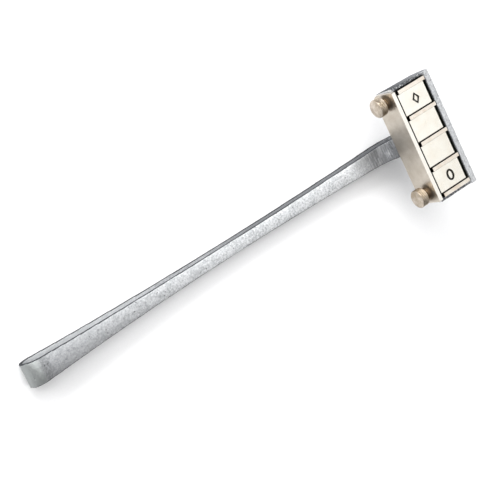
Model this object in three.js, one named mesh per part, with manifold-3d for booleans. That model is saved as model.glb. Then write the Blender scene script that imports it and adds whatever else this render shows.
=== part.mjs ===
// A hand stamping tool: a one-piece cast handle and head that carries four exchangeable dies.
// The dies stand between five divider bars on a carrier plate, and a retaining plate with two
// thumb screws closes the open side of the head.
//
// Millimetres. +X runs along the handle from the grip to the head, +Z points out of the dies'
// striking faces, and the handle lies on Z = 0. The head is centred on Y = 0.

import * as THREE from "three";
import { mergeVertices } from "three/addons/utils/BufferGeometryUtils.js";
import Module from "manifold-3d";

const wasm = await Module();
wasm.setup();

// ---------------------------------------------------------------- driving sizes

const overallLength = 352; // grip end to the far face of the head
const strikeHeight = 50; // striking faces above the surface the handle lies on
const fitGap = 0.3; // clearance between pieces that rest on or slide in each other

const diePitch = 20; // one die and one divider bar
const dieCount = 4;
const screwSpacing = 70.8; // between the two thumb screws

const head = {
  width: 88.4, // along Y
  reach: 32.7, // from the bay mouth to the far face
  wallInside: 27.5, // from the bay mouth to the far wall
  mouthLip: 1.2, // the casting's near face stands this far in front of the bay mouth
  backDepthNear: 23, // back of the head below the striking faces, at the near side
  backDepthFar: 16.5, // the same, where the back meets the slanted far face
  backFarReach: 27.6, // from the bay mouth to that corner
  backDraft: 1.7, // each end face leans in this far towards the back
  floorDepth: 6, // floor of the bay below the striking faces
  wallTopDrop: 0.8, // top of the far wall below the striking faces, at its inner edge
  wallOuterDrop: 1.3, // the same, at its outer edge
  endWall: 2.7, // thickness of the two end walls
  endWallDrop: 3.2, // top of the end walls below the striking faces
};

const handle = {
  flange: 2.4, // thickness of the I-section's two flanges
  web: 3, // thickness of its web
  tipRound: 9, // length of the rounded grip end
  tipCorner: 1.6, // corner radius of the grip end, seen from above
  bendStart: 14.5, // where the underside starts to rise, before the bay mouth
  bendOuter: 35, // radius of the underside in the bend
  bendInner: 22, // radius of the upper side in the bend
  pocketTop: 25, // height at which the side pockets stop in the neck
};

// Stations along the handle: distance from the grip end, width along Y, thickness along Z.
const handleStations = [
  [0, 17.2, 20.6],
  [31, 14.4, 19.2],
  [59, 12.5, 17.4],
  [86, 11.2, 15.6],
  [113, 10.2, 14.3],
  [159, 9.4, 12.9],
  [197, 9.4, 12.5],
  [246, 10.4, 12.6],
];

// Width of the neck, which carries on from the stations: distance past the bay mouth, width.
const neckStations = [
  [-36, 11.8],
  [-15, 13],
  [2, 14.8],
  [22, 17],
];

const carrier = { thickness: 1.5, length: 82.4, reach: 26.3 };
const bar = { topWidth: 2.7, stemWidth: 1.1, lipDrop: 2.4, front: 1.1, back: 26.3, proud: 0.1 };
const die = { width: 16, front: -0.5, back: 23.9, tongueWidth: 18.2, sideGap: 0.15 };
const mark = { stroke: 1.2, proud: 0.5, seat: 1.4, seatGap: 0.15, reach: 12.8, acrossX: 6, acrossY: 8.2 };
const plate = { thickness: 3.1, width: 84.6, depth: 22.2, hole: 2.4, cornerCut: 0.6, lowerRound: 3.5 };
const screw = {
  depth: 12.8, // axis below the striking faces
  headRadius: 6.8,
  headLength: 5.8,
  headChamfer: 0.4,
  shankRadius: 1.95,
  engagement: 11, // shank end past the bay mouth
};
const collar = { radius: 4.9, bore: 2.35, length: 2 };
const tappedHole = { radius: 2.3, reach: 12 };
const carrierScrew = { headRadius: 2.5, headHeight: 1.2, shankRadius: 1.4, length: 9, reach: 13 };

// ---------------------------------------------------------------- places

const gripX = -overallLength / 2;
const farX = overallLength / 2;
const mouthX = farX - head.reach; // near end of the bay's floor
const floorZ = strikeHeight - head.floorDepth;
const carrierZ = floorZ + fitGap;
const dieZ = carrierZ + carrier.thickness + fitGap;
const lipZ = strikeHeight - bar.lipDrop;
const screwZ = strikeHeight - screw.depth;
const castFaceX = mouthX - head.mouthLip;
const plateX = castFaceX - fitGap - plate.thickness; // outer face of the retaining plate
const collarX = plateX - fitGap - collar.length;
const screwHeadX = collarX - fitGap - screw.headLength;

const barY = (index) => (dieCount / 2 - index) * diePitch;
const screwY = (index) => (0.5 - index) * screwSpacing;

// The die of a bay stands close to the bar on its +Y side.
const dieCentreY = (index) => barY(index) - bar.topWidth / 2 - die.sideGap - die.width / 2;
const bayCentreY = (index) => barY(index) - diePitch / 2;

// ---------------------------------------------------------------- materials

const finishes = {
  castAluminium: { color: 0xb4b7ba, roughness: 0.55, metalness: 0.85 },
  plainBrass: { color: 0xe3dccb, roughness: 0.4, metalness: 0.9 },
  dividerBrass: { color: 0xe8d5bf, roughness: 0.35, metalness: 0.9 },
  satinNickel: { color: 0xc6bcae, roughness: 0.35, metalness: 0.95 },
  darkSteel: { color: 0x2a2723, roughness: 0.5, metalness: 0.8 },
  screwSteel: { color: 0xa9a9a6, roughness: 0.35, metalness: 0.95 },
};

// ---------------------------------------------------------------- solids

// A closed geometry as a solid that can be joined and cut.
function solid(geometry) {
  const bare = geometry.clone();
  bare.deleteAttribute("normal");
  bare.deleteAttribute("uv");
  const welded = mergeVertices(bare, 1e-4);
  return new wasm.Manifold(
    new wasm.Mesh({
      numProp: 3,
      vertProperties: new Float32Array(welded.attributes.position.array),
      triVerts: new Uint32Array(welded.index.array),
    }),
  );
}

// A solid back as a geometry.
function shell(body) {
  const mesh = body.getMesh();
  const geometry = new THREE.BufferGeometry();
  geometry.setAttribute("position", new THREE.BufferAttribute(mesh.vertProperties, 3));
  geometry.setIndex(new THREE.BufferAttribute(mesh.triVerts, 1));
  geometry.computeVertexNormals();
  return geometry;
}

// A box between two corners.
function block(low, high) {
  const size = high.map((value, axis) => value - low[axis]);
  const geometry = new THREE.BoxGeometry(...size);
  geometry.translate(...low.map((value, axis) => value + size[axis] / 2));
  return geometry;
}

// An outline in the X-Z plane, extruded from y = low to y = high.
function sideExtrusion(shape, low, high, curveSegments = 12) {
  const options = { depth: high - low, bevelEnabled: false, curveSegments };
  const geometry = new THREE.ExtrudeGeometry(shape, options);
  geometry.rotateX(Math.PI / 2);
  geometry.translate(0, high, 0);
  return geometry;
}

// An outline in the X-Y plane, extruded from z = low to z = high.
function planExtrusion(shape, low, high, curveSegments = 12) {
  const options = { depth: high - low, bevelEnabled: false, curveSegments };
  const geometry = new THREE.ExtrudeGeometry(shape, options);
  geometry.translate(0, 0, low);
  return geometry;
}

// An outline in the Y-Z plane, extruded from x = low to x = high.
function crossExtrusion(shape, low, high) {
  const geometry = new THREE.ExtrudeGeometry(shape, { depth: high - low, bevelEnabled: false });
  geometry.rotateX(Math.PI / 2);
  geometry.rotateZ(Math.PI / 2);
  geometry.translate(low, 0, 0);
  return geometry;
}

// A profile of [x, radius] points, turned about an axis that runs along X.
function turned(profile, y, z, segments = 32) {
  const points = profile.map(([x, radius]) => new THREE.Vector2(radius, x));
  const geometry = new THREE.LatheGeometry(points, segments);
  geometry.rotateZ(-Math.PI / 2);
  geometry.translate(0, y, z);
  return geometry;
}

// A profile of [radius, z] points, turned about an upright axis.
function turnedUpright(profile, x, y, segments = 24) {
  const points = profile.map(([radius, z]) => new THREE.Vector2(radius, z));
  const geometry = new THREE.LatheGeometry(points, segments);
  geometry.rotateX(Math.PI / 2);
  geometry.translate(x, y, 0);
  return geometry;
}

function rod(lowX, highX, radius, y, z, segments = 24) {
  return turned([[lowX, 0], [lowX, radius], [highX, radius], [highX, 0]], y, z, segments);
}

function outline(points) {
  return new THREE.Shape(points.map(([x, y]) => new THREE.Vector2(x, y)));
}

function smooth(points, count) {
  const curve = new THREE.SplineCurve(points.map(([x, y]) => new THREE.Vector2(x, y)));
  return curve.getPoints(count).map((point) => [point.x, point.y]);
}

// Points of an elliptical arc, both ends included; angles in degrees.
function arc(centreX, centreY, radiusX, radiusY, from, to, count) {
  return Array.from({ length: count + 1 }, (_, step) => {
    const angle = THREE.MathUtils.degToRad(from + ((to - from) * step) / count);
    return [centreX + radiusX * Math.cos(angle), centreY + radiusY * Math.sin(angle)];
  });
}

// ---------------------------------------------------------------- the casting

// The handle seen from the side, shrunk by an inset. The neck runs up to a given height.
function handleSide(inset, neckTop) {
  const bendX = mouthX - handle.bendStart;
  const outer = handle.bendOuter - inset;
  const inner = handle.bendInner + inset;
  const endAngle = (radius) => {
    const sine = (handle.bendOuter - neckTop) / radius;
    return -THREE.MathUtils.radToDeg(Math.asin(sine));
  };
  const tipHalf = handleStations[0][2] / 2 - inset;
  const tipX = gripX + inset;
  const topLine = handleStations
    .slice(1)
    .map(([distance, , thickness]) => [gripX + distance, thickness - inset])
    .reverse();
  const bendUpperZ = handle.bendOuter - inner;
  const tipRound = handle.tipRound - inset / 2;
  const tipZ = inset + tipHalf;
  const upper = smooth([[bendX, bendUpperZ], ...topLine, [tipX + tipRound, tipZ + tipHalf]], 28);
  return outline([
    ...arc(bendX, handle.bendOuter, outer, outer, -90, endAngle(outer), 12),
    ...arc(bendX, handle.bendOuter, inner, inner, endAngle(inner), -90, 10),
    ...upper.slice(1),
    ...arc(tipX + tipRound, tipZ, tipRound, tipHalf, 90, 270, 14).slice(1),
  ]);
}

// The handle seen from above.
function handlePlan() {
  const corner = handle.tipCorner;
  const side = smooth(
    [
      ...handleStations.map(([distance, width]) => [gripX + distance, width / 2]),
      ...neckStations.map(([distance, width]) => [mouthX + distance, width / 2]),
    ],
    34,
  );
  const tipY = handleStations[0][1] / 2;
  const round = arc(gripX + corner, tipY - corner, corner, corner, 180, 90, 4);
  const upper = [...round, ...side.filter(([x]) => x > gripX + corner)];
  const lower = upper.map(([x, y]) => [x, -y]).reverse();
  return outline([...lower, ...upper]);
}

function handleSolid() {
  const widest = 12;
  const neckTop = strikeHeight - head.backDepthFar + 1; // runs a little into the head
  const body = solid(sideExtrusion(handleSide(0, neckTop), -widest, widest)).intersect(
    solid(planExtrusion(handlePlan(), -1, strikeHeight)),
  );
  const pocket = handleSide(handle.flange, handle.pocketTop);
  const left = solid(sideExtrusion(pocket, handle.web / 2, widest));
  const right = solid(sideExtrusion(pocket, -widest, -handle.web / 2));
  return body.subtract(left).subtract(right);
}

// The head seen from the side: a floor and a far wall with a slanted outer face.
function headSide(nearTop) {
  const wallX = mouthX + head.wallInside;
  return outline([
    [castFaceX, strikeHeight - head.backDepthNear],
    [mouthX + head.backFarReach, strikeHeight - head.backDepthFar],
    [farX, strikeHeight - head.wallOuterDrop],
    [wallX, strikeHeight - head.wallTopDrop],
    [wallX, nearTop],
    [castFaceX, nearTop],
  ]);
}

// The head's outline along its row of dies: the end faces lean in towards the back.
function headEnvelope() {
  const half = head.width / 2;
  const backZ = strikeHeight - head.backDepthNear;
  const shape = outline([
    [-half + head.backDraft, backZ],
    [half - head.backDraft, backZ],
    [half, floorZ],
    [half, strikeHeight],
    [-half, strikeHeight],
    [-half, floorZ],
  ]);
  return crossExtrusion(shape, castFaceX, farX);
}

function handleCasting() {
  const half = head.width / 2;
  const inside = half - head.endWall;
  const endSide = headSide(strikeHeight - head.endWallDrop);
  let body = solid(sideExtrusion(headSide(floorZ), -half, half))
    .add(solid(sideExtrusion(endSide, inside, half)))
    .add(solid(sideExtrusion(endSide, -half, -inside)))
    .intersect(solid(headEnvelope()))
    .add(handleSolid());
  for (const index of [0, 1]) {
    const hole = rod(castFaceX - 1, mouthX + tappedHole.reach, tappedHole.radius, screwY(index), screwZ);
    body = body.subtract(solid(hole));
  }
  for (let index = 0; index < dieCount; index += 1) {
    const hole = [
      [0, floorZ - carrierScrew.length],
      [carrierScrew.shankRadius + fitGap, floorZ - carrierScrew.length],
      [carrierScrew.shankRadius + fitGap, floorZ + 1],
      [0, floorZ + 1],
    ];
    body = body.subtract(solid(turnedUpright(hole, mouthX + carrierScrew.reach, bayCentreY(index))));
  }
  return shell(body);
}

// ---------------------------------------------------------------- pieces in the head

// A countersunk hole or head, from the carrier's top face down.
function countersink(grow, depth) {
  const topZ = carrierZ + carrier.thickness;
  const shank = carrierScrew.shankRadius + grow;
  return [
    [0, topZ - depth],
    [shank, topZ - depth],
    [shank, topZ - carrierScrew.headHeight],
    [carrierScrew.headRadius + grow, topZ],
    [0, topZ],
  ];
}

function carrierPlate() {
  const half = carrier.length / 2;
  const low = [mouthX, -half, carrierZ];
  const high = [mouthX + carrier.reach, half, carrierZ + carrier.thickness];
  let body = solid(block(low, high));
  for (let index = 0; index < dieCount; index += 1) {
    const hole = countersink(fitGap, carrier.thickness + 1);
    body = body.subtract(solid(turnedUpright(hole, mouthX + carrierScrew.reach, bayCentreY(index))));
  }
  return shell(body);
}

function carrierScrewBody(index) {
  const x = mouthX + carrierScrew.reach;
  const y = bayCentreY(index);
  const slotHalf = 0.35;
  const topZ = carrierZ + carrier.thickness;
  const slotLow = [x - slotHalf, y - carrierScrew.headRadius, topZ - 0.6];
  const slotHigh = [x + slotHalf, y + carrierScrew.headRadius, topZ + 1];
  const body = solid(turnedUpright(countersink(0, carrierScrew.length), x, y));
  return shell(body.subtract(solid(block(slotLow, slotHigh))));
}

// A bar with a narrow stem, so that its top overhangs the die tongues on both sides.
function dividerBar(index) {
  const y = barY(index);
  const top = bar.topWidth / 2;
  const stem = bar.stemWidth / 2;
  const shape = outline([
    [y - stem, dieZ],
    [y + stem, dieZ],
    [y + stem, lipZ],
    [y + top, lipZ],
    [y + top, strikeHeight + bar.proud],
    [y - top, strikeHeight + bar.proud],
    [y - top, lipZ],
    [y - stem, lipZ],
  ]);
  return crossExtrusion(shape, mouthX + bar.front, mouthX + bar.back);
}

// Closed outline of a raised mark about its own centre: a lozenge, or an oval.
function markLoop(kind, grow, path) {
  const alongX = mark.acrossX / 2 + grow;
  const alongY = mark.acrossY / 2 + grow;
  const steps = kind === "lozenge" ? 4 : 28;
  for (let step = 0; step < steps; step += 1) {
    const angle = (2 * Math.PI * step) / steps;
    const x = alongX * Math.cos(angle);
    const y = alongY * Math.sin(angle);
    if (step === 0) path.moveTo(x, y);
    else path.lineTo(x, y);
  }
  path.closePath();
  return path;
}

// The mark's outline as a band, grown on both sides by a gap.
function markBand(kind, gap) {
  const band = markLoop(kind, gap, new THREE.Shape());
  band.holes.push(markLoop(kind, -mark.stroke - gap, new THREE.Path()));
  return band;
}

function markGeometry(kind, index, gap, lowZ, highZ) {
  const geometry = planExtrusion(markBand(kind, gap), lowZ, highZ);
  geometry.translate(mouthX + mark.reach, dieCentreY(index), 0);
  return geometry;
}

function markInsert(kind, index) {
  const lowZ = strikeHeight - mark.seat + mark.seatGap;
  return markGeometry(kind, index, 0, lowZ, strikeHeight + mark.proud);
}

// A die: a plate with a tongue along each side that runs under the bars' overhang.
function dieBody(index, kind) {
  const y = dieCentreY(index);
  const bay = bayCentreY(index);
  const half = die.width / 2;
  const tongueHalf = die.tongueWidth / 2;
  const tongueZ = lipZ - fitGap;
  const shape = outline([
    [bay - tongueHalf, dieZ],
    [bay + tongueHalf, dieZ],
    [bay + tongueHalf, tongueZ],
    [y + half, tongueZ],
    [y + half, strikeHeight],
    [y - half, strikeHeight],
    [y - half, tongueZ],
    [bay - tongueHalf, tongueZ],
  ]);
  const plain = crossExtrusion(shape, mouthX + die.front, mouthX + die.back);
  if (!kind) return plain;
  const seat = markGeometry(kind, index, mark.seatGap, strikeHeight - mark.seat, strikeHeight + 1);
  return shell(solid(plain).subtract(solid(seat)));
}

function retainingPlate() {
  const half = plate.width / 2;
  const cut = plate.cornerCut;
  const round = plate.lowerRound;
  const roundZ = strikeHeight - plate.depth + round;
  const shape = outline([
    ...arc(-half + round, roundZ, round, round, 180, 270, 6),
    ...arc(half - round, roundZ, round, round, 270, 360, 6),
    [half, strikeHeight - cut],
    [half - cut, strikeHeight],
    [-half + cut, strikeHeight],
    [-half, strikeHeight - cut],
  ]);
  let body = solid(crossExtrusion(shape, plateX, plateX + plate.thickness));
  for (const index of [0, 1]) {
    const hole = rod(plateX - 1, castFaceX, plate.hole, screwY(index), screwZ);
    body = body.subtract(solid(hole));
  }
  return shell(body);
}

function thumbScrew(index) {
  const { headRadius, headLength, headChamfer, shankRadius, engagement } = screw;
  const profile = [
    [screwHeadX, 0],
    [screwHeadX, headRadius - headChamfer],
    [screwHeadX + headChamfer, headRadius],
    [screwHeadX + headLength - headChamfer / 2, headRadius],
    [screwHeadX + headLength, headRadius - headChamfer / 2],
    [screwHeadX + headLength, shankRadius],
    [mouthX + engagement - headChamfer, shankRadius],
    [mouthX + engagement, shankRadius - headChamfer],
    [mouthX + engagement, 0],
  ];
  return turned(profile, screwY(index), screwZ, 40);
}

function screwCollar(index) {
  const outside = rod(collarX, collarX + collar.length, collar.radius, screwY(index), screwZ, 36);
  const bore = rod(collarX - 1, plateX, collar.bore, screwY(index), screwZ);
  return shell(solid(outside).subtract(solid(bore)));
}

// ---------------------------------------------------------------- the assembly

const tool = new THREE.Group();

function addPiece(name, geometry, finish) {
  const mesh = new THREE.Mesh(geometry, new THREE.MeshStandardMaterial(finishes[finish]));
  mesh.name = name;
  tool.add(mesh);
}

addPiece("handle_casting", handleCasting(), "castAluminium");
addPiece("carrier_plate", carrierPlate(), "plainBrass");
for (let index = 0; index <= dieCount; index += 1) {
  addPiece(`divider_bar_${index + 1}`, dividerBar(index), "dividerBrass");
}

// The first and last dies carry a raised mark, and the two between them are blank.
const dieMarks = ["lozenge", null, null, "oval"];
for (let index = 0; index < dieCount; index += 1) {
  const kind = dieMarks[index];
  addPiece(`die_${index + 1}`, dieBody(index, kind), "plainBrass");
  addPiece(`carrier_screw_${index + 1}`, carrierScrewBody(index), "screwSteel");
  if (kind) addPiece(`${kind}_mark_${index + 1}`, markInsert(kind, index), "darkSteel");
}

addPiece("retaining_plate", retainingPlate(), "satinNickel");
for (const index of [0, 1]) {
  addPiece(`screw_collar_${index + 1}`, screwCollar(index), "satinNickel");
  addPiece(`thumb_screw_${index + 1}`, thumbScrew(index), "satinNickel");
}

export default tool;
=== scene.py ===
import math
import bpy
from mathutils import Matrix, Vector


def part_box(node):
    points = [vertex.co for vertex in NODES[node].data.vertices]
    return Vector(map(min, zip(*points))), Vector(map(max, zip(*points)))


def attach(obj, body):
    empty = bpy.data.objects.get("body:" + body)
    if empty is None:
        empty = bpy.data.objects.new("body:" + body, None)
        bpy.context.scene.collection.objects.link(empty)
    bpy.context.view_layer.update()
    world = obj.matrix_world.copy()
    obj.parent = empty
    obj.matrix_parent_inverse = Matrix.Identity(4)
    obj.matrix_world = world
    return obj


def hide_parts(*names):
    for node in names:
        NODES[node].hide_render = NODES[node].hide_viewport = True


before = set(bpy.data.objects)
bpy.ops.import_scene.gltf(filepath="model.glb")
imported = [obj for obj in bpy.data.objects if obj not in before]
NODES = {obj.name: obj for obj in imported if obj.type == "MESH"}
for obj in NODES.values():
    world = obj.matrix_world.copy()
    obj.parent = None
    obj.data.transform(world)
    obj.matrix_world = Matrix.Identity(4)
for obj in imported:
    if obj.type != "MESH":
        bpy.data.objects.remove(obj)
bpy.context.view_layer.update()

# A hand stamping tool on a pale table. The row frame is in metres: +X runs from the grip to the
# head, +Z out of the striking faces. The tool's main sizes come from the frame. What the CAD
# leaves out (knurl, small chamfers, rounded edges, uneven skin) is set by the constants below.

from types import SimpleNamespace

import bmesh
import bpy
from mathutils import Matrix, Vector

MM = 0.001
CASTING = "handle_casting"
DIES = ["die_1", "die_2", "die_3", "die_4"]
BARS = [f"divider_bar_{number}" for number in range(1, 6)]
CARRIER_SCREWS = [f"carrier_screw_{number}" for number in range(1, 5)]
MARKS = ["lozenge_mark_1", "oval_mark_4"]

# Places on the tool, in millimetres.
STRIKE_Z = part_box("die_2")[1].z / MM
MOUTH_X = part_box("carrier_plate")[0].x / MM
BAY_BACK_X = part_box("carrier_plate")[1].x / MM
BAY_SIDE_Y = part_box("divider_bar_1")[1].y / MM
GRIP_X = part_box(CASTING)[0].x / MM

# The camera: the direction from the object to it and its turn about that direction, in degrees,
# its distance and clipping range in metres, its lens in millimetres, and what it looks at.
CAMERA_AZIMUTH = 154.70
CAMERA_ELEVATION = 59.78
CAMERA_ROLL = -86.35
CAMERA_DISTANCE = 1.1409
CAMERA_LENS = 121.7
CAMERA_CLIP = (0.05, 20.0)
CAMERA_TARGET = Vector((2.2, -5.6, 20.0)) * MM

# The casting's uneven, rounded skin. Each unevenness is its size and depth in millimetres.
CAST_VOXEL = 0.45 * MM
CAST_SMOOTHING = 3
CAST_SWELL = (14.0, 0.18)
CAST_SKIN = (2.2, 0.14)
SKIN_LEVEL = 0.8             # cloud value that leaves the surface in place; lower ones cut in

# The handle's top drops from its middle to its edges.
CROWN_DEPTH = 0.9 * MM
CROWN_HALF_WIDTH = 6.5 * MM
CROWN_LOW = 5.0 * MM         # the crown fades in between these two heights
CROWN_HIGH = 10.0 * MM
CROWN_END = (MOUTH_X - 30.0) * MM
CROWN_FADE = 12.0 * MM       # and fades out over this length before CROWN_END

# Widths of the rounded edges, in millimetres, and the angles in degrees that decide what is flat,
# which edges are rounded and which stay sharp on a turned piece.
CARRIER_EDGE = 0.15
SMALL_EDGE = 0.08            # dies, divider bars and carrier screws
MARK_EDGE = 0.12
PLATE_EDGE = 0.3
COLLAR_EDGE = 0.25
FLAT_ANGLE = 1.0
ROUNDED_ANGLE = 35.0
SHARP_ANGLE = 50.0

# Thumb screws, in millimetres. A corner is a row of points on the head's edge, each given by its
# distance from the head's end face and its drop below the rim.
KNURL_TEETH = 44
KNURL_DEPTH = 0.28
KNURL_STEPS = (0.0, 0.5, 1.0, 0.5)          # depth share at the four steps of one tooth
RING_STEPS = KNURL_TEETH * len(KNURL_STEPS)
FRONT_CORNER = ((0.0, 0.55), (0.08, 0.40), (0.45, 0.10))
BACK_CORNER = ((0.45, 0.10), (0.0, 0.45))
RIM_INSET = 0.60             # the knurled rim starts this far from both end faces
COLLAR_GAP = 0.3             # between the head and its collar
SHANK_RADIUS = 1.95
SHANK_CHAMFER = 0.5

# Half width of the table, in metres.
TABLE_HALF = 3.0

# Softboxes: place and size in metres, power in watts. All of them face LIGHT_TARGET.
LIGHT_TARGET = (0.05, 0.0, 0.02)
SOFTBOXES = {
    "overhead": ((0.45, -0.22, 1.3), (1.4, 1.1), 5.4),
    "side": ((-0.2, 1.5, 0.8), (1.0, 1.0), 28.0),
    "side_left": ((-1.2, 1.0, 0.7), (0.8, 0.8), 11.6),
    "side_right": ((0.5, 0.9, 1.3), (0.9, 0.9), 9.7),
    "fill": ((-0.55, 0.25, 1.3), (0.9, 0.9), 7.2),
}
WORLD_STRENGTH = 0.32


# ---------------------------------------------------------------- camera

def add_camera():
    azimuth = math.radians(CAMERA_AZIMUTH)
    elevation = math.radians(CAMERA_ELEVATION)
    outward = Vector((
        math.cos(elevation) * math.cos(azimuth),
        math.cos(elevation) * math.sin(azimuth),
        math.sin(elevation),
    ))
    data = bpy.data.cameras.new("camera")
    data.lens = CAMERA_LENS
    data.clip_start, data.clip_end = CAMERA_CLIP
    camera = bpy.data.objects.new("camera", data)
    bpy.context.collection.objects.link(camera)
    turn = outward.to_track_quat("Z", "Y").to_matrix().to_4x4()
    roll = Matrix.Rotation(math.radians(-CAMERA_ROLL), 4, "Z")
    place = Matrix.Translation(CAMERA_TARGET + outward * CAMERA_DISTANCE)
    camera.matrix_world = place @ turn @ roll
    bpy.context.scene.camera = camera


# ---------------------------------------------------------------- shader nodes

# Input and output numbers of a Mix node's factor and colours.
MIX_INPUTS = (0, 6, 7)
MIX_RESULT = 2


def new_material(name):
    """An empty material with a Principled shader; returns the material and its shader node."""
    material = bpy.data.materials.new(name)
    material.use_nodes = True
    return material, material.node_tree.nodes["Principled BSDF"]


def add_node(tree, kind, settings=None, **inputs):
    """Adds a node; each input is a value, or an output socket to link. in_0 means input 0."""
    node = tree.nodes.new(kind)
    for key, value in (settings or {}).items():
        setattr(node, key, value)
    for key, value in inputs.items():
        socket = node.inputs[int(key[3:])] if key.startswith("in_") else node.inputs[key]
        if isinstance(value, bpy.types.NodeSocket):
            tree.links.new(value, socket)
        else:
            socket.default_value = value
    return node


def millimetres(tree, stretch=(1.0, 1.0, 1.0)):
    """Row-frame coordinates in millimetres, each axis divided by its stretch."""
    source = add_node(tree, "ShaderNodeTexCoord")
    scale = [1.0 / (MM * factor) for factor in stretch]
    mapping = add_node(tree, "ShaderNodeMapping", Vector=source.outputs["Object"], Scale=scale)
    return mapping.outputs["Vector"]


def coordinates(tree):
    """Separate X, Y and Z row-frame coordinates in millimetres."""
    return add_node(tree, "ShaderNodeSeparateXYZ", Vector=millimetres(tree)).outputs


def facing(tree):
    """Separate X, Y and Z of the direction that the surface faces."""
    surface = add_node(tree, "ShaderNodeNewGeometry")
    return add_node(tree, "ShaderNodeSeparateXYZ", Vector=surface.outputs["Normal"]).outputs


def noise(tree, size, detail, roughness=0.55, stretch=(1.0, 1.0, 1.0)):
    """Noise with features of about that size in millimetres; returns its 0 to 1 value."""
    made = add_node(
        tree, "ShaderNodeTexNoise", Vector=millimetres(tree, stretch),
        Scale=1.0 / size, Detail=detail, Roughness=roughness,
    )
    return made.outputs["Fac"]


def remap(tree, value, from_low, from_high, to_low, to_high):
    """Maps one range to another, held at both ends."""
    node = add_node(
        tree, "ShaderNodeMapRange", {"clamp": True}, Value=value,
        in_1=from_low, in_2=from_high, in_3=to_low, in_4=to_high,
    )
    return node.outputs["Result"]


def fade(tree, value, span, full=1.0):
    """0 where the value is at the span's first end, and full at and past its second end."""
    return remap(tree, value, span[0], span[1], 0.0, full)


def math_node(tree, operation, first, second=0.0):
    made = add_node(tree, "ShaderNodeMath", {"operation": operation}, in_0=first, in_1=second)
    return made.outputs[0]


def product(tree, *factors):
    """Multiplies any number of values."""
    value = factors[0]
    for factor in factors[1:]:
        value = math_node(tree, "MULTIPLY", value, factor)
    return value


def larger(tree, first, second):
    return math_node(tree, "MAXIMUM", first, second)


def mix_colour(tree, factor, first, second):
    """Mixes two colours; each is a socket or an (r, g, b) value."""
    node = tree.nodes.new("ShaderNodeMix")
    node.data_type = "RGBA"
    for number, value in zip(MIX_INPUTS, (factor, first, second)):
        socket = node.inputs[number]
        if isinstance(value, bpy.types.NodeSocket):
            tree.links.new(value, socket)
        elif isinstance(value, tuple):
            socket.default_value = (*value, 1.0)
        else:
            socket.default_value = value
    return node.outputs[MIX_RESULT]


def bump(tree, height, depth_mm, below=None):
    """A bump of that depth in millimetres, laid on top of another bump."""
    node = add_node(tree, "ShaderNodeBump", Height=height, Strength=1.0, Distance=depth_mm * MM)
    if below is not None:
        tree.links.new(below, node.inputs["Normal"])
    return node.outputs["Normal"]


def shade_below(tree, depth_mm, blend_mm):
    """Painted shade mask: 1 in the gaps of the head, deeper than that under the striking faces, and 0
    above.
    """
    height = coordinates(tree)[2]
    return fade(tree, height, (STRIKE_Z - depth_mm, STRIKE_Z - depth_mm - blend_mm))


# ---------------------------------------------------------------- cast aluminium

# Where the casting's looks change, in millimetres. Each span runs from no effect to full effect;
# ALONG is X, ACROSS is the distance from the handle's middle plane and HEIGHT is Z.
GRIP_ALONG = (-15.0, -155.0)
CAP_ALONG = (GRIP_X + 11.0, GRIP_X + 7.0)
CREASE_START_ALONG = (GRIP_X + 6.5, GRIP_X + 10.5)
CREASE_END_ALONG = (GRIP_X + 18.0, GRIP_X + 11.5)
NECK_ALONG = (MOUTH_X - 38.0, MOUTH_X - 16.0)
NECK_HEIGHT = (30.0, 26.0)
LOW_FLANGE_HEIGHT = (8.0, 6.0)
WEB_ACROSS = (3.0, 2.2)
FLANGE_ACROSS = (2.6, 3.6)
SHADED_POCKET_ALONG = (-90.0, 20.0)
LIT_POCKET_ALONG = (-50.0, -110.0)
PAST_MOUTH_ALONG = (MOUTH_X - 1.6, MOUTH_X - 0.9)
BEFORE_WALL_ALONG = (BAY_BACK_X + 1.9, BAY_BACK_X + 1.5)
FAR_WALL_ALONG = (BAY_BACK_X + 1.0, BAY_BACK_X + 1.6)
BETWEEN_WALLS_ACROSS = (BAY_SIDE_Y + 0.5, BAY_SIDE_Y + 0.2)
ABOVE_FLOOR_HEIGHT = (STRIKE_Z - 7.0, STRIKE_Z - 6.6)
END_FACE_ACROSS = (BAY_SIDE_Y + 1.0, BAY_SIDE_Y + 2.0)
END_FACE_ALONG = (MOUTH_X, MOUTH_X + 24.0)

PIT_CELLS = 0.45             # cells per millimetre, of which a few hold a pit


def casting_places(tree):
    """Where a point of the casting is, in millimetres, and how its surface faces."""
    along, place_y, height = coordinates(tree)
    direction = facing(tree)
    return SimpleNamespace(
        along=along,
        across=math_node(tree, "ABSOLUTE", place_y),
        height=height,
        sideways=math_node(tree, "ABSOLUTE", direction[1]),
        up=direction[2],
    )


def sand_skin(tree, mottle):
    """Tone of the cast skin: soft clouds, light and dark mottle, and fine bright specks."""
    cloud = noise(tree, 9.0, detail=5.0)
    speck = noise(tree, 0.8, detail=3.0, roughness=0.7)
    tone = mix_colour(tree, fade(tree, cloud, (0.35, 0.65)), (0.54, 0.555, 0.57), (0.67, 0.68, 0.695))
    tone = mix_colour(tree, fade(tree, mottle, (0.50, 0.64), 0.72), tone, (0.94, 0.95, 0.96))
    tone = mix_colour(tree, fade(tree, mottle, (0.48, 0.37), 0.64), tone, (0.25, 0.26, 0.275))
    return mix_colour(tree, fade(tree, speck, (0.52, 0.64), 0.30), tone, (0.95, 0.96, 0.97))


def scattered_pits(tree):
    """1 in small round pits. They sit in the few cells whose own random value is high."""
    cells = add_node(tree, "ShaderNodeTexVoronoi", Vector=millimetres(tree), Scale=PIT_CELLS)
    chosen = fade(tree, cells.outputs["Color"], (0.70, 0.74))
    return product(tree, fade(tree, cells.outputs["Distance"], (0.28, 0.12)), chosen)


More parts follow.
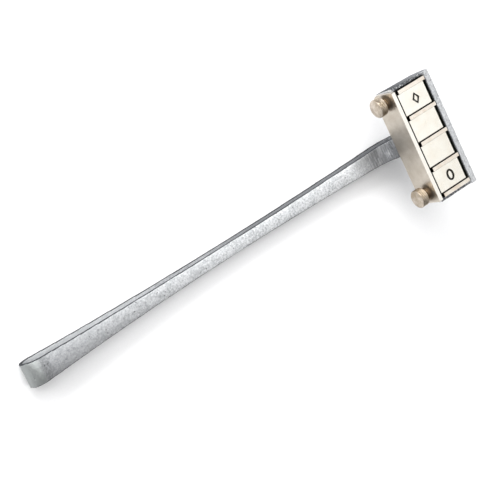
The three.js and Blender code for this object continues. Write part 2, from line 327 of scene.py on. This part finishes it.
def grip_tone_and_shade(tree, tone, at, mottle):
    """The handle darkens towards the grip; its end cap is darker as painted shade that tones down its
    highlight, and so is the crease behind it, where the top dips.
    """
    tone = mix_colour(tree, fade(tree, at.along, GRIP_ALONG, 0.62), tone, (0.21, 0.215, 0.225))
    tone = mix_colour(tree, fade(tree, at.along, CAP_ALONG, 0.65), tone, (0.29, 0.31, 0.30))
    # Painted shade where the top dips behind the end cap.
    crease = product(
        tree, fade(tree, at.along, CREASE_START_ALONG), fade(tree, at.along, CREASE_END_ALONG),
        fade(tree, at.up, (0.3, 0.8)), fade(tree, mottle, (0.85, 0.35), 0.80))
    return mix_colour(tree, crease, tone, (0.13, 0.135, 0.14))


def neck_tone(tree, tone, at):
    """The neck is darker, with lighter crosswise strokes."""
    neck = product(tree, fade(tree, at.along, NECK_ALONG), fade(tree, at.height, NECK_HEIGHT))
    strokes = noise(tree, 1.2, detail=4.0, roughness=0.75, stretch=(1.0, 9.0, 9.0))
    tone = mix_colour(tree, product(tree, neck, 0.85), tone, (0.14, 0.145, 0.155))
    stroke = product(tree, neck, fade(tree, strokes, (0.46, 0.62), 0.45))
    return mix_colour(tree, stroke, tone, (0.62, 0.63, 0.65))


def pocket_light_and_shade(tree, tone, at):
    """The pockets beside the web get painted shade towards the head and painted light near the grip.

    Their floor is the upper face of the bottom flange. Returns the tone and where the painted shade
    lies.
    """
    on_bottom_flange = fade(tree, at.height, LOW_FLANGE_HEIGHT)
    floor = product(tree, on_bottom_flange, fade(tree, at.up, (0.4, 0.7)))
    web = product(tree, fade(tree, at.sideways, (0.25, 0.6)), fade(tree, at.across, WEB_ACROSS))
    painted_shade = product(tree, larger(tree, floor, web), fade(tree, at.along, SHADED_POCKET_ALONG, 0.9))
    # Painted shade: the pockets darken towards the head.
    tone = mix_colour(tree, painted_shade, tone, (0.18, 0.185, 0.195))
    # Painted light: the pocket floor near the grip is lighter.
    bright = product(tree, floor, fade(tree, at.along, LIT_POCKET_ALONG, 0.9))
    return mix_colour(tree, bright, tone, (0.66, 0.67, 0.68)), painted_shade


def shaded_flange_edges(tree, tone, at):
    """The flanges' side faces get dark painted shade, much darker than the skin.

    On the bottom flange, faces that lean less get this painted shade too. Returns the tone and where
    it is painted.
    """
    on_bottom_flange = fade(tree, at.height, LOW_FLANGE_HEIGHT, 0.28)
    lean = math_node(tree, "ADD", at.sideways, on_bottom_flange)
    edge = product(tree, fade(tree, lean, (0.40, 0.58)), fade(tree, at.across, FLANGE_ACROSS), 0.96)
    return mix_colour(tree, edge, tone, (0.028, 0.030, 0.034)), edge


def head_shade_and_tones(tree, tone, at, mottle):
    """Black painted shade in the bay's gaps, a bright far wall, and darker mottled patches on the end
    walls' tops.
    """
    past_mouth = fade(tree, at.along, PAST_MOUTH_ALONG)
    before_wall = fade(tree, at.along, BEFORE_WALL_ALONG)
    above_floor = fade(tree, at.height, ABOVE_FLOOR_HEIGHT)
    upward = fade(tree, at.up, (0.55, 0.85))
    # Painted shade: the bay's gaps below the striking faces are nearly black.
    bay_shade = product(
        tree, past_mouth, before_wall, fade(tree, at.across, BETWEEN_WALLS_ACROSS),
        above_floor, shade_below(tree, depth_mm=1.0, blend_mm=2.0), 0.96)
    tone = mix_colour(tree, bay_shade, tone, (0.030, 0.036, 0.018))
    far_wall = product(tree, fade(tree, at.along, FAR_WALL_ALONG), above_floor, upward, 0.35)
    tone = mix_colour(tree, far_wall, tone, (0.80, 0.81, 0.82))
    end_wall_patches = fade(tree, mottle, (0.66, 0.50), 0.92)
    end_walls = product(tree, past_mouth, before_wall, above_floor, upward, end_wall_patches)
    return mix_colour(tree, end_walls, tone, (0.075, 0.08, 0.088))


def shaded_end_faces(tree, tone, at):
    """The head's outer end faces get darker painted shade towards the far wall. Returns the tone and
    where.
    """
    end_face = product(
        tree, fade(tree, at.across, END_FACE_ACROSS), fade(tree, at.sideways, (0.3, 0.6)))
    painted_shade = product(tree, end_face, fade(tree, at.along, END_FACE_ALONG, 0.95))
    return mix_colour(tree, painted_shade, tone, (0.16, 0.165, 0.175)), painted_shade


def cast_aluminium():
    """Sand-cast aluminium: mottled grey, a few pits, with darker ground and dirty places."""
    material, shader = new_material("cast_aluminium")
    tree = material.node_tree
    at = casting_places(tree)
    mottle = noise(tree, 1.4, detail=6.0, roughness=0.72)
    pit = scattered_pits(tree)

    tone = sand_skin(tree, mottle)
    tone = mix_colour(tree, product(tree, pit, 0.7), tone, (0.12, 0.12, 0.125))
    tone = grip_tone_and_shade(tree, tone, at, mottle)
    tone = neck_tone(tree, tone, at)
    tone, pocket_shade = pocket_light_and_shade(tree, tone, at)
    tone, edge = shaded_flange_edges(tree, tone, at)
    tone = head_shade_and_tones(tree, tone, at, mottle)
    tone, end_face_shade = shaded_end_faces(tree, tone, at)
    tree.links.new(tone, shader.inputs["Base Color"])

    # Where the painted shade lies on flange edges, pockets and end faces, the skin is also matt; the
    # rest of the skin is bare metal.
    matt = larger(tree, edge, larger(tree, pocket_shade, end_face_shade))
    tree.links.new(remap(tree, matt, 0.0, 1.0, 0.92, 0.0), shader.inputs["Metallic"])
    tree.links.new(remap(tree, matt, 0.0, 1.0, 0.5, 0.05), shader.inputs["Specular IOR Level"])
    rough = remap(tree, mottle, 0.3, 0.7, 0.42, 0.60)
    tree.links.new(larger(tree, rough, product(tree, matt, 0.9)), shader.inputs["Roughness"])

    normal = bump(tree, noise(tree, 5.0, detail=3.0), 0.35)
    normal = bump(tree, noise(tree, 0.8, detail=4.0, roughness=0.7), 0.20, below=normal)
    normal = bump(tree, math_node(tree, "SUBTRACT", 1.0, pit), 0.35, below=normal)
    tree.links.new(normal, shader.inputs["Normal"])
    return material


# ---------------------------------------------------------------- other materials

# Stretch of the drawn grain along X, Y and Z.
DRAWN_ALONG_X = (40.0, 1.0, 1.0)
DRAWN_ALONG_Y = (1.0, 40.0, 1.0)
NOT_DRAWN = (1.0, 1.0, 1.0)


def machined_metal(name, light, dark, roughness, stretch, shaded_gaps=False, top_highlight=None):
    """Machined metal with a drawn grain and faint clouding.

    The gaps of a piece can be painted black as shade below its striking faces, and faces that look up
    can get a lighter colour as a painted highlight.
    """
    material, shader = new_material(name)
    tree = material.node_tree
    shader.inputs["Metallic"].default_value = 1.0
    cloud = noise(tree, 7.0, detail=3.0)
    grain = noise(tree, 0.22, detail=5.0, roughness=0.75, stretch=stretch)
    tone = mix_colour(tree, fade(tree, cloud, (0.35, 0.68)), light, dark)
    tone = mix_colour(tree, fade(tree, grain, (0.35, 0.75), 0.18), tone, dark)
    # Painted highlight: faces that look up are lighter.
    if top_highlight:
        tone = mix_colour(tree, fade(tree, facing(tree)[2], (0.6, 0.9), 0.9), tone, top_highlight)
    # Painted shade: the gaps below the striking faces are black.
    if shaded_gaps:
        gap_shade = product(tree, shade_below(tree, depth_mm=0.02, blend_mm=0.08), 0.98)
        tone = mix_colour(tree, gap_shade, tone, (0.020, 0.014, 0.008))
    tree.links.new(tone, shader.inputs["Base Color"])
    smoothest, roughest = roughness
    tree.links.new(remap(tree, grain, 0.3, 0.7, smoothest, roughest), shader.inputs["Roughness"])
    tree.links.new(bump(tree, grain, 0.010), shader.inputs["Normal"])
    return material


def plated_brass():
    # Below the striking faces, in the gaps, these pieces get black painted shade.
    return machined_metal(
        "plated_die", light=(0.95, 0.925, 0.85), dark=(0.90, 0.855, 0.76),
        roughness=(0.24, 0.38), stretch=DRAWN_ALONG_X, shaded_gaps=True)


def bare_brass():
    # Below the striking faces, in the gaps, the divider bars get black painted shade.
    return machined_metal(
        "bare_brass", light=(0.92, 0.87, 0.79), dark=(0.80, 0.70, 0.59),
        roughness=(0.24, 0.38), stretch=DRAWN_ALONG_X, shaded_gaps=True)


def satin_nickel():
    # The up-facing faces of the retaining plate carry a painted highlight.
    return machined_metal(
        "satin_nickel", light=(0.56, 0.515, 0.45), dark=(0.47, 0.42, 0.355),
        roughness=(0.26, 0.40), stretch=DRAWN_ALONG_Y, top_highlight=(0.98, 0.95, 0.88))


def zinc_steel():
    return machined_metal(
        "zinc_screw", light=(0.62, 0.62, 0.61), dark=(0.48, 0.48, 0.48),
        roughness=(0.3, 0.5), stretch=NOT_DRAWN)


# Places on a thumb screw, in millimetres from no effect to full effect: how far below the head's
# rim its crests, its grooves and the collar lie, and how far the painted shadow on the collar's front
# end reaches.
CREST_DEPTH = (0.20, 0.04)
GROOVE_DEPTH = (0.04, 0.20)
ABOVE_COLLAR_DEPTH = (1.0, 0.5)
COLLAR_DEPTH = (1.0, 1.4)
COLLAR_FRONT = (1.6, 0.9)

TURNING_RINGS = 5.0          # radians of the ring pattern per millimetre of radius


def turned_metal(name, screw):
    """Satin plate with turning rings about a screw's axis, painted shade in its knurl's grooves and
    on its collar, and painted highlights on the knurl's crests.
    """
    material, shader = new_material(name)
    tree = material.node_tree
    shader.inputs["Metallic"].default_value = 1.0
    place = coordinates(tree)
    off_axis = add_node(
        tree, "ShaderNodeCombineXYZ",
        in_0=math_node(tree, "SUBTRACT", place[1], screw.axis_y / MM),
        in_1=math_node(tree, "SUBTRACT", place[2], screw.axis_z / MM),
    )
    length = add_node(
        tree, "ShaderNodeVectorMath", {"operation": "LENGTH"}, in_0=off_axis.outputs[0])
    radius = length.outputs["Value"]
    speckle = noise(tree, 0.7, detail=5.0, roughness=0.7)
    cloud = noise(tree, 4.0, detail=3.0)
    rings = math_node(tree, "SINE", math_node(tree, "MULTIPLY", radius, TURNING_RINGS))
    light = (0.60, 0.54, 0.47)
    dark = (0.34, 0.28, 0.21)
    tone = mix_colour(tree, fade(tree, cloud, (0.35, 0.65)), light, dark)
    tone = mix_colour(tree, fade(tree, speckle, (0.50, 0.66), 0.45), tone, dark)
    tone = mix_colour(tree, fade(tree, rings, (0.2, 1.0), 0.30), tone, dark)

    # Painted shade in the knurl's grooves, mottled by noise, and painted highlights on its crests.
    on_side = fade(tree, math_node(tree, "ABSOLUTE", facing(tree)[0]), (0.7, 0.4))
    below_rim = math_node(tree, "SUBTRACT", screw.radius / MM, radius)
    groove_shade = product(
        tree, on_side, fade(tree, below_rim, GROOVE_DEPTH), fade(tree, below_rim, ABOVE_COLLAR_DEPTH))
    groove_mottle = remap(tree, noise(tree, 2.5, detail=3.0), 0.42, 0.60, 0.35, 0.95)
    tone = mix_colour(tree, product(tree, groove_shade, groove_mottle), tone, (0.07, 0.045, 0.028))
    crest_highlight = product(tree, on_side, fade(tree, below_rim, CREST_DEPTH, 0.50))
    tone = mix_colour(tree, crest_highlight, tone, (0.88, 0.74, 0.56))

    # Painted shade: the collar is browner and darker under the head, with a black painted shadow in
    # the gap just behind it.
    on_collar = product(tree, on_side, fade(tree, below_rim, COLLAR_DEPTH))
    tone = mix_colour(tree, product(tree, on_collar, 0.85), tone, (0.26, 0.18, 0.11))
    along_collar = math_node(tree, "SUBTRACT", place[0], screw.collar_x / MM)
    collar_shadow = product(tree, on_collar, fade(tree, along_collar, COLLAR_FRONT, 0.95))
    tone = mix_colour(tree, collar_shadow, tone, (0.03, 0.02, 0.012))
    tree.links.new(tone, shader.inputs["Base Color"])
    tree.links.new(remap(tree, speckle, 0.3, 0.7, 0.24, 0.44), shader.inputs["Roughness"])
    normal = bump(tree, rings, 0.02)
    normal = bump(tree, speckle, 0.05, below=normal)
    tree.links.new(normal, shader.inputs["Normal"])
    return material


def blackened_steel():
    """Dark steel of the raised marks, rubbed brighter in places."""
    material, shader = new_material("blackened_steel")
    tree = material.node_tree
    shader.inputs["Metallic"].default_value = 0.5
    shader.inputs["Specular IOR Level"].default_value = 0.2
    rub = noise(tree, 1.2, detail=4.0)
    rubbed = fade(tree, rub, (0.60, 0.72), 0.7)
    tone = mix_colour(tree, rubbed, (0.016, 0.014, 0.011), (0.36, 0.36, 0.34))
    tree.links.new(tone, shader.inputs["Base Color"])
    tree.links.new(remap(tree, rub, 0.3, 0.7, 0.55, 0.30), shader.inputs["Roughness"])
    tree.links.new(bump(tree, rub, 0.05), shader.inputs["Normal"])
    return material


def table_surface():
    """A pale matt table with a barely visible tooth."""
    material, shader = new_material("table_surface")
    tree = material.node_tree
    tooth = fade(tree, noise(tree, 1.5, detail=3.0), (0.3, 0.7))
    tone = mix_colour(tree, tooth, (0.86, 0.86, 0.865), (0.88, 0.88, 0.885))
    tree.links.new(tone, shader.inputs["Base Color"])
    shader.inputs["Roughness"].default_value = 0.9
    shader.inputs["Specular IOR Level"].default_value = 0.1
    return material


# ---------------------------------------------------------------- meshes

def new_object(name, mesh, material):
    mesh.materials.clear()
    mesh.materials.append(material)
    piece = bpy.data.objects.new(name, mesh)
    bpy.context.collection.objects.link(piece)
    return piece


def finished_mesh(piece):
    """The piece's mesh with its modifiers applied."""
    depsgraph = bpy.context.evaluated_depsgraph_get()
    return bpy.data.meshes.new_from_object(piece.evaluated_get(depsgraph))


def cloud_texture(name, size_mm):
    texture = bpy.data.textures.new(name, "CLOUDS")
    texture.noise_scale = size_mm * MM
    texture.noise_depth = 3
    return texture


def share(value, low, high):
    """How far a value is from low to high, held between 0 and 1."""
    return min(max((value - low) / (high - low), 0.0), 1.0)


def crown_handle(mesh):
    """Lowers the handle's top towards both edges, and fades out before the neck."""
    for vertex in mesh.vertices:
        x, y, z = vertex.co
        height_share = share(z, CROWN_LOW, CROWN_HIGH)
        length_share = share(x, CROWN_END, CROWN_END - CROWN_FADE)
        vertex.co.z = z - CROWN_DEPTH * (y / CROWN_HALF_WIDTH) ** 2 * height_share * length_share


def casting_piece(material):
    """The casting with rounded edges and an uneven skin, remeshed from the CAD solid."""
    rough = new_object("casting_blank", NODES[CASTING].data.copy(), material)
    remesh = rough.modifiers.new("remesh", "REMESH")
    remesh.mode = "VOXEL"
    remesh.voxel_size = CAST_VOXEL
    soften = rough.modifiers.new("soften", "SMOOTH")
    soften.factor = 0.5
    soften.iterations = CAST_SMOOTHING
    for label, (size, depth) in (("swell", CAST_SWELL), ("skin", CAST_SKIN)):
        displace = rough.modifiers.new(label, "DISPLACE")
        displace.texture = cloud_texture(label, size)
        displace.texture_coords = "LOCAL"
        displace.strength = depth * MM
        displace.mid_level = SKIN_LEVEL
    piece = new_object("cast_body", finished_mesh(rough), material)
    crown_handle(piece.data)
    piece.data.shade_smooth()
    bpy.data.objects.remove(rough)
    return piece


def soften_edges(node_name, width_mm, material, segments=2):
    """Gives a CAD node small rounded edges and a material; its own mesh isn't changed."""
    node = NODES[node_name]
    merge = node.modifiers.new("flat_faces", "DECIMATE")
    merge.decimate_type = "DISSOLVE"
    merge.angle_limit = math.radians(FLAT_ANGLE)
    bevel = node.modifiers.new("edges", "BEVEL")
    bevel.width = width_mm * MM
    bevel.segments = segments
    bevel.limit_method = "ANGLE"
    bevel.angle_limit = math.radians(ROUNDED_ANGLE)
    for slot in node.material_slots:
        slot.material = material


def knurl(step):
    """Depth of the knurl at a step round the rim, in metres."""
    return KNURL_DEPTH * MM * KNURL_STEPS[step % len(KNURL_STEPS)]


def turned_piece(name, profile, axis_y, axis_z, material):
    """A turned solid about an axis along X. Each profile entry is (x, radius, knurled)."""
    shape = bmesh.new()
    rings = []
    for x, radius, knurled in profile:
        if radius == 0.0:
            rings.append([shape.verts.new((x, axis_y, axis_z))])
            continue
        ring = []
        for step in range(RING_STEPS):
            angle = 2.0 * math.pi * step / RING_STEPS
            reach = radius - (knurl(step) if knurled else 0.0)
            y = axis_y + reach * math.cos(angle)
            z = axis_z + reach * math.sin(angle)
            ring.append(shape.verts.new((x, y, z)))
        rings.append(ring)
    for first, second in zip(rings, rings[1:]):
        for step in range(RING_STEPS):
            after = (step + 1) % RING_STEPS
            corners = [first[step % len(first)], second[step % len(second)]]
            corners += [second[after % len(second)], first[after % len(first)]]
            unique = list(dict.fromkeys(corners))
            shape.faces.new(unique)
    bmesh.ops.recalc_face_normals(shape, faces=shape.faces)
    mesh = bpy.data.meshes.new(name)
    shape.to_mesh(mesh)
    shape.free()
    piece = new_object(name, mesh, material)
    mesh.shade_smooth()
    mesh.set_sharp_from_angle(angle=math.radians(SHARP_ANGLE))
    return piece


# ---------------------------------------------------------------- the tool

def screw_place(number):
    """A thumb screw's ends, axis and head radius, and where its collar starts, in metres."""
    low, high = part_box(f"thumb_screw_{number}")
    return SimpleNamespace(
        front=low.x,
        end=high.x,
        axis_y=0.5 * (low.y + high.y),
        axis_z=0.5 * (low.z + high.z),
        radius=0.5 * (high.y - low.y),
        collar_x=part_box(f"screw_collar_{number}")[0].x,
    )


def add_thumb_screw(number, screw, material):
    """A thumb screw with a knurled head and a plain shank, in place of the CAD's plain one."""
    back = screw.collar_x - COLLAR_GAP * MM
    shank = SHANK_RADIUS * MM
    chamfer = SHANK_CHAMFER * MM
    profile = [(screw.front, 0.0, False)]
    for inward, drop in FRONT_CORNER:
        profile.append((screw.front + inward * MM, screw.radius - drop * MM, False))
    profile.append((screw.front + RIM_INSET * MM, screw.radius, True))
    profile.append((back - RIM_INSET * MM, screw.radius, True))
    for inward, drop in BACK_CORNER:
        profile.append((back - inward * MM, screw.radius - drop * MM, False))
    profile += [
        (back, shank, False),
        (screw.end - chamfer, shank, False),
        (screw.end, shank - chamfer, False),
        (screw.end, 0.0, False),
    ]
    piece = turned_piece(f"knurled_screw_{number}", profile, screw.axis_y, screw.axis_z, material)
    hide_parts(f"thumb_screw_{number}")
    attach(piece, f"screw_{number}")


def add_casting():
    body = casting_piece(cast_aluminium())
    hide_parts(CASTING)
    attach(body, "casting")


def finish_dies():
    """The dies, their marks and divider bars, the plate that carries them, and its screws."""
    plated = plated_brass()
    soften_edges("carrier_plate", CARRIER_EDGE, plated)
    for names, width, material in (
        (DIES, SMALL_EDGE, plated),
        (BARS, SMALL_EDGE, bare_brass()),
        (CARRIER_SCREWS, SMALL_EDGE, zinc_steel()),
        (MARKS, MARK_EDGE, blackened_steel()),
    ):
        for name in names:
            soften_edges(name, width, material)


def finish_retaining_plate():
    """The retaining plate, its two thumb screws and their collars."""
    soften_edges("retaining_plate", PLATE_EDGE, satin_nickel(), segments=3)
    for number in (1, 2):
        screw = screw_place(number)
        turned = turned_metal(f"turned_nickel_{number}", screw)
        add_thumb_screw(number, screw, turned)
        soften_edges(f"screw_collar_{number}", COLLAR_EDGE, turned)


# ---------------------------------------------------------------- table and light

def add_table():
    half = TABLE_HALF
    mesh = bpy.data.meshes.new("table")
    corners = [(-half, -half, 0.0), (half, -half, 0.0), (half, half, 0.0), (-half, half, 0.0)]
    mesh.from_pydata(corners, [], [(0, 1, 2, 3)])
    new_object("table", mesh, table_surface())


def add_softbox(name, place, size, power):
    data = bpy.data.lights.new(name, "AREA")
    data.shape = "RECTANGLE"
    data.size, data.size_y = size
    data.energy = power
    light = bpy.data.objects.new(name, data)
    bpy.context.collection.objects.link(light)
    light.location = place
    toward = Vector(LIGHT_TARGET) - Vector(place)
    light.rotation_euler = toward.to_track_quat("-Z", "Y").to_euler()


def add_light():
    """An even white world, the softboxes, and colours shown as they are."""
    world = bpy.data.worlds.new("studio")
    world.use_nodes = True
    background = world.node_tree.nodes["Background"]
    background.inputs["Color"].default_value = (1.0, 1.0, 1.0, 1.0)
    background.inputs["Strength"].default_value = WORLD_STRENGTH
    bpy.context.scene.world = world
    for name, (place, size, power) in SOFTBOXES.items():
        add_softbox(name, place, size, power)
    bpy.context.scene.view_settings.view_transform = "Standard"


# ---------------------------------------------------------------- the scene

add_casting()
finish_dies()
finish_retaining_plate()
add_camera()
add_table()
add_light()
